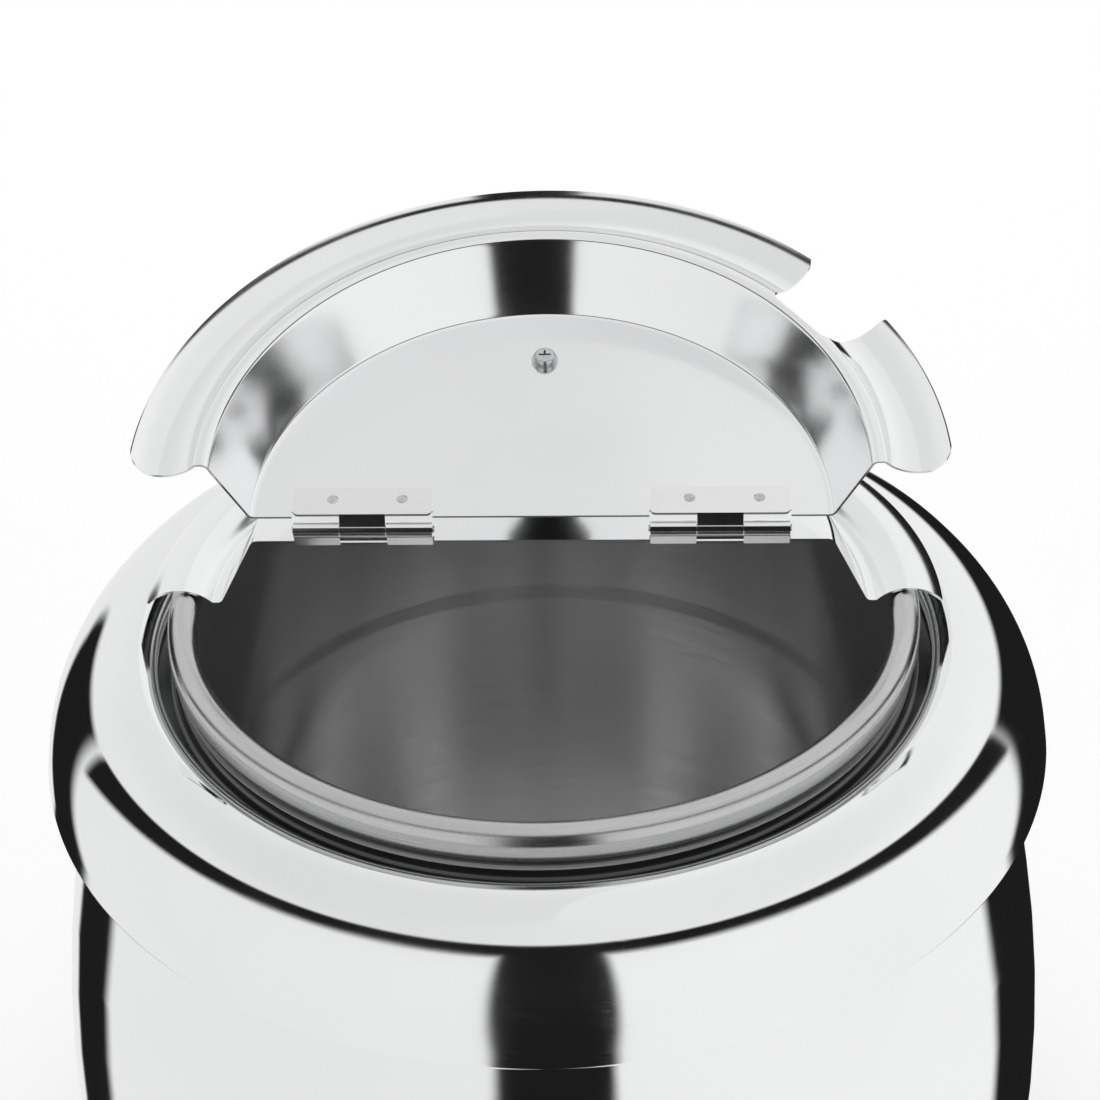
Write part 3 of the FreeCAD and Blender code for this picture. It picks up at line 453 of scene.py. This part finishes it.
# ---- polished shells and the pot ----
def outer_body():
    upper = math.atan((BELLY_RADIUS - BODY_TOP_RADIUS) / UPPER_RISE)
    upper_corner = BELLY_Z + UPPER_CURVE * math.tan(upper / 2.0)
    lower = math.asin((BELLY_Z - BODY_BOTTOM) / LOWER_CURVE)
    lower_corner = BELLY_Z - LOWER_CURVE * math.tan(lower / 2.0)
    bottom_radius = BELLY_RADIUS - (lower_corner - BODY_BOTTOM) * math.tan(lower)
    flat = 0.02                 # so that the two curves of the belly don't touch
    path = [(149.0, COLLAR_BOTTOM), (BODY_TOP_RADIUS, COLLAR_BOTTOM),
            (BELLY_RADIUS, upper_corner + flat), (BELLY_RADIUS, lower_corner - flat),
            (bottom_radius, BODY_BOTTOM), (FLANGE_RADIUS, BODY_BOTTOM)]
    bm = sheet_mesh(*both_faces(path, [1.5, UPPER_CURVE, LOWER_CURVE, 0.0]), BODY_SEGMENTS)
    piece = finish_mesh("body_shell", bm, "kettle", LOOKS["polished_steel"])
    stand_in("outer_body")


def shoulder_collar():
    ridge, crown, shoulder = (133.08, 288.58), (147.96, 289.36), (167.3, 269.6)
    path = [(NECK_RADIUS, NECK_TOP), (NECK_RADIUS, NECK_FOOT), ridge, crown, shoulder,
            (COLLAR_RADIUS, COLLAR_BOTTOM), (150.0, COLLAR_BOTTOM)]
    bm = sheet_mesh(*both_faces(path, [1.5, 10, 24.5, 50.8, 1.2]), ROUND_SEGMENTS)
    piece = finish_mesh("collar_shell", bm, "kettle", LOOKS["polished_steel"])
    # the neck band under the pot's rim gets the dark steel: painted shade of the gap and a painted
    # dark reflection of the rim's underside
    neck_out, neck_down = NECK_RADIUS + 2.2, NECK_FOOT - 6.0
    second_look(piece, LOOKS["neck_painted_shade"], lambda r, z: r < neck_out and z > neck_down)
    stand_in("shoulder_collar")


def soup_pot():
    lower, outer = POT_RADIUS - POT_STEP, POT_RADIUS + RIM_WIDTH
    curl = RIM_WIDTH / 2.0 - 0.05
    path = [(0, POT_FLOOR), (lower, POT_FLOOR), (lower, FILL_LINE - STEP_HEIGHT),
            (POT_RADIUS, FILL_LINE), (POT_RADIUS, RIM_TOP), (outer, RIM_TOP),
            (outer, RIM_BOTTOM), (POT_RADIUS + 3.9, RIM_BOTTOM)]
    bm = sheet_mesh(*both_faces(path, [11, 12, 12, curl, curl, 4]), ROUND_SEGMENTS)
    piece = finish_mesh("pot_shell", bm, "pot", LOOKS["satin_steel"])
    rim_out, rim_up = POT_RADIUS + 2.0, RIM_TOP - curl - 0.2
    second_look(piece, LOOKS["rim_steel"], lambda r, z: z > rim_up or r > rim_out)
    stand_in("soup_pot")


# ---- lid halves ----
def hinge_notches():
    half, front = LEAF_LENGTH / 2.0 + 0.3, -0.5
    cutters = []
    for x in (-HINGE_X, HINGE_X):
        outline = [(x - half, front), (x + half, front), (x + half, NOTCH_DEPTH),
                   (x - half, NOTCH_DEPTH)]
        cutters.append(prism(outline, PLATEAU_TOP - 3, PLATEAU_TOP + 2))
    return cutters


def ladle_notch():
    """Cuts the opening for the ladle, wide at the flange's edge and rounded at its corners."""
    mouth, outside, root_half, mouth_half, lead, corner = 133.0, 150, 15.0, 18.0, 32.0, 5
    closest = 0.02
    outline = [(outside, 0), (outside, -lead), (mouth, -lead), (mouth, -mouth_half),
               (NOTCH_ROOT, -root_half), (NOTCH_ROOT, root_half), (mouth, mouth_half),
               (mouth, lead), (outside, lead), (outside, 0)]
    points, _ = rounded(outline, [0, 0, corner, corner, corner, corner, 0, 0])
    loop = []
    for p in points:
        if not loop or (p - loop[-1]).length > closest:
            loop.append(p)
    if (loop[0] - loop[-1]).length < closest:
        loop.pop()
    turn = Matrix.Rotation(math.radians(NOTCH_ANGLE), 2)
    return prism([turn @ p for p in loop], VALLEY_TOP - 8, VALLEY_TOP + 8)


def tip_rounding(side):
    """Rounds the flange's corner where it ends beside the hinge line."""
    radius, beyond, below, depth = 7.0, 4, 3, 15
    x, y = FLANGE_TIP - radius - 0.4, LID_GAP + radius
    arc = [(x + radius * math.sin(math.radians(a)), y - radius * math.cos(math.radians(a)))
           for a in range(0, 91, 5)]
    outline = arc + [(x + radius + beyond, y), (x + radius + beyond, LID_GAP - below),
                     (x, LID_GAP - below)]
    return prism([(side * px, py) for px, py in outline], VALLEY_TOP - depth, VALLEY_TOP + depth)


def lid_half(name, side, body, node):
    """Drawn closed on the +Y side; the front half is then mirrored and folded back."""
    end = VALLEY_RADIUS + VALLEY_WIDTH
    path = [(LID_GAP, PLATEAU_TOP), (PLATEAU_RADIUS, PLATEAU_TOP), (VALLEY_RADIUS, VALLEY_TOP),
            (end, VALLEY_TOP), (end + ARCH_HALF, VALLEY_TOP + ARCH_HALF), (FLANGE_TIP, VALLEY_TOP)]
    bm = sheet_mesh(*both_faces(path, [3.0, 2.0, 1.0, ARCH_RADIUS]), LID_SEGMENTS, LID_GAP)
    piece = new_object(name, bm)
    cutters = hinge_notches()
    if side < 0:
        cutters += [ladle_notch(), tip_rounding(1), tip_rounding(-1)]
    cut_away(piece, cutters)
    if side < 0:
        mirror = Matrix.Diagonal((1, -1, 1, 1))
        to_axis = Matrix.Translation((0, 0, HINGE_Z * MM))
        fold = Matrix.Rotation(math.radians(-OPEN_ANGLE), 4, "X")
        piece.data.transform(to_axis @ fold @ to_axis.inverted() @ mirror)
        piece.data.flip_normals()
    finish_piece(piece, body, LOOKS["lid_steel"])
    stand_in(node)


outer_body()
shoulder_collar()
soup_pot()
lid_half("lid_rear_shell", 1, "lid_rear", "lid_rear_panel")
lid_half("lid_front_shell", -1, "lid_front", "lid_front_panel")


# ---- small prints ----
PRINT_DEPTH = 0.05


def print_bars(name, bars, face_y, body):
    """Thin printed bars in the plane of the dial: (angle, inner radius, outer radius, width)."""
    bm = bmesh.new()
    for angle, inner, outer, width in bars:
        a = math.radians(angle)
        along = Vector((math.sin(a), 0, math.cos(a)))
        across = Vector((math.cos(a), 0, -math.sin(a))) * (width / 2)
        corners = [along * inner - across, along * outer - across,
                   along * outer + across, along * inner + across]
        rings = [[bm.verts.new((c + Vector((0, y, DIAL_Z))) * MM) for c in corners]
                 for y in (face_y, face_y - PRINT_DEPTH)]
        bm.faces.new(rings[0])
        bm.faces.new(rings[1])
        for i in range(4):
            j = (i + 1) % 4
            bm.faces.new((rings[0][i], rings[0][j], rings[1][j], rings[1][i]))
    piece = finish_mesh(name, bm, body, LOOKS["white_print"])


def scale_marks():
    """A mark every 30 degrees of the dial's travel, longer every 60, where the plate reaches."""
    mark_radius, plate_reach = 17.7, 14.0
    bars = []
    for angle in range(0, 271, 30):
        if abs(mark_radius * math.cos(math.radians(angle))) < plate_reach:
            outer, width = (18.8, 0.7) if angle % 60 else (19.2, 1.1)
            bars.append((angle, 16.6, outer, width))
    return bars


print_bars("scale_marks", scale_marks(), SCALE_FACE, "kettle")
print_bars("dial_index", [(0.0, 3.0, 11.5, 1.2)], DIAL_FACE, "dial")


# ---- studio ----
# Angles are in degrees. The tent's are measured from the viewpoint's own direction, toward +X.
VIEW_TURN, VIEW_RISE, VIEW_ROLL = 2.14, 34.65, -1.47
WALL_TOP, WALL_DROP, WALL_END, WALL_CURVE = 47.0, 40.0, 117.0, 2.5
SEAM_HALF, SEAM_GROWTH, SEAM_FADE = 5.5, 3.0, (118.0, 122.0)
SLOT_FADE = (11.5, 14.5)
LEFT_FLAG, RIGHT_FLAG = (-150.0, -146.0, -126.0, -120.0), (117.0, 123.0, 164.0, 168.0)
FLAG_HEIGHT = (-62.0, -46.0, 6.0, 14.0)
DARKEST = 0.012


def studio_floor():
    bm = bmesh.new()
    bmesh.ops.create_grid(bm, x_segments=2, y_segments=2, size=6.0)
    floor = new_object("floor", bm)
    floor.location.z = -0.0002
    f = Finish("floor_paper", (0.86, 0.86, 0.86), 0.0, 0.9)
    f.shader.inputs["Emission Color"].default_value = (1, 1, 1, 1)
    f.shader.inputs["Emission Strength"].default_value = 0.38
    f.colour(f.noise(f.place, 3.0, 2.0), (0.87, 0.87, 0.87))
    floor.data.materials.append(f.material)
    floor.visible_glossy = False


def studio_light():
    """White tent all round, with a slot in front, dark side flags and a seam under the ceiling."""
    world = bpy.data.worlds.new("tent")
    bpy.context.scene.world = world
    world.use_nodes = True
    tree = world.node_tree
    tree.nodes.clear()

    def calc(operation, *values):
        node = tree.nodes.new("ShaderNodeMath")
        node.operation = operation
        for slot, value in zip(node.inputs, values):
            if isinstance(value, (int, float)):
                slot.default_value = value
            else:
                tree.links.new(value, slot)
        return node.outputs[0]

    def ease(value, low, high, to_low=0.0, to_high=1.0):
        node = tree.nodes.new("ShaderNodeMapRange")
        node.interpolation_type = "SMOOTHSTEP"
        for slot, number in zip(node.inputs, (value, low, high, to_low, to_high)):
            if isinstance(number, (int, float)):
                slot.default_value = number
            else:
                tree.links.new(number, slot)
        return node.outputs[0]

    def band(value, start, full, fade, end):
        """1 between full and fade, 0 before start and after end."""
        return calc("MULTIPLY", ease(value, start, full), ease(value, fade, end, 1.0, 0.0))

    place = tree.nodes.new("ShaderNodeTexCoord")
    split = tree.nodes.new("ShaderNodeSeparateXYZ")
    tree.links.new(place.outputs["Generated"], split.inputs[0])
    x, y, z = split.outputs
    degree = 180.0 / math.pi
    height = calc("MULTIPLY", calc("ARCSINE", z), degree)
    heading = calc("ARCTAN2", x, calc("MULTIPLY", y, -1.0))
    around = calc("SUBTRACT", calc("MULTIPLY", heading, degree), VIEW_TURN)
    aside = calc("ABSOLUTE", around)
    # the top edge of the front wall falls away toward its two ends
    share = calc("POWER", calc("DIVIDE", aside, WALL_END), WALL_CURVE)
    edge = calc("SUBTRACT", WALL_TOP, calc("MULTIPLY", share, WALL_DROP))
    above = calc("SUBTRACT", height, edge)
    wide = calc("ADD", SEAM_HALF, calc("MULTIPLY", share, SEAM_GROWTH))
    seam = ease(calc("SUBTRACT", calc("ABSOLUTE", above), wide), -2.0, 2.0, 1.0, 0.0)
    seam = calc("MULTIPLY", seam, ease(aside, *SEAM_FADE, 1.0, 0.0))
    # the open slot in front, below that edge, then the two side flags
    slot = calc("MULTIPLY", ease(aside, *SLOT_FADE, 1.0, 0.0), ease(above, -1.0, 3.0, 1.0, 0.0))
    flags = calc("MAXIMUM", band(around, *LEFT_FLAG), band(around, *RIGHT_FLAG))
    flags = calc("MULTIPLY", flags, band(height, *FLAG_HEIGHT))
    dark = calc("MAXIMUM", calc("MAXIMUM", seam, slot), flags)
    tone = ease(around, -90.0, 60.0, 0.86, 0.94)
    tone = calc("MULTIPLY", tone, ease(height, 25.0, 60.0, 1.0, 0.90))
    bright = calc("MULTIPLY", tone, calc("SUBTRACT", 1.0, dark))
    level = calc("ADD", bright, calc("MULTIPLY", dark, DARKEST))
    tent = tree.nodes.new("ShaderNodeBackground")
    tree.links.new(level, tent.inputs["Strength"])
    plain = tree.nodes.new("ShaderNodeBackground")
    plain.inputs["Strength"].default_value = 1.0
    path = tree.nodes.new("ShaderNodeLightPath")
    mix = tree.nodes.new("ShaderNodeMixShader")
    out = tree.nodes.new("ShaderNodeOutputWorld")
    tree.links.new(path.outputs["Is Camera Ray"], mix.inputs[0])
    tree.links.new(tent.outputs[0], mix.inputs[1])
    tree.links.new(plain.outputs[0], mix.inputs[2])
    tree.links.new(mix.outputs[0], out.inputs["Surface"])
    for background in (tent, plain):
        background.inputs["Color"].default_value = (1, 1, 1, 1)
    bpy.context.scene.view_settings.view_transform = "Standard"


def studio_camera():
    rise, distance = math.radians(VIEW_RISE), 1.0277
    target = Vector((2.69, 0.0, 318.28)) * MM
    back = Vector((0.0, -math.cos(rise), math.sin(rise)))
    data = bpy.data.cameras.new("camera")
    data.sensor_width, data.lens = 36.0, 101.36
    data.clip_start, data.clip_end = 0.05, 50.0
    camera = bpy.data.objects.new("camera", data)
    bpy.context.scene.collection.objects.link(camera)
    look = back.to_track_quat("Z", "Y").to_matrix().to_4x4()
    roll = Matrix.Rotation(math.radians(VIEW_ROLL), 4, "Z")
    placed = Matrix.Translation(target + back * distance) @ look @ roll
    camera.matrix_world = Matrix.Rotation(math.radians(VIEW_TURN), 4, "Z") @ placed
    bpy.context.scene.camera = camera


studio_floor()
studio_light()
studio_camera()
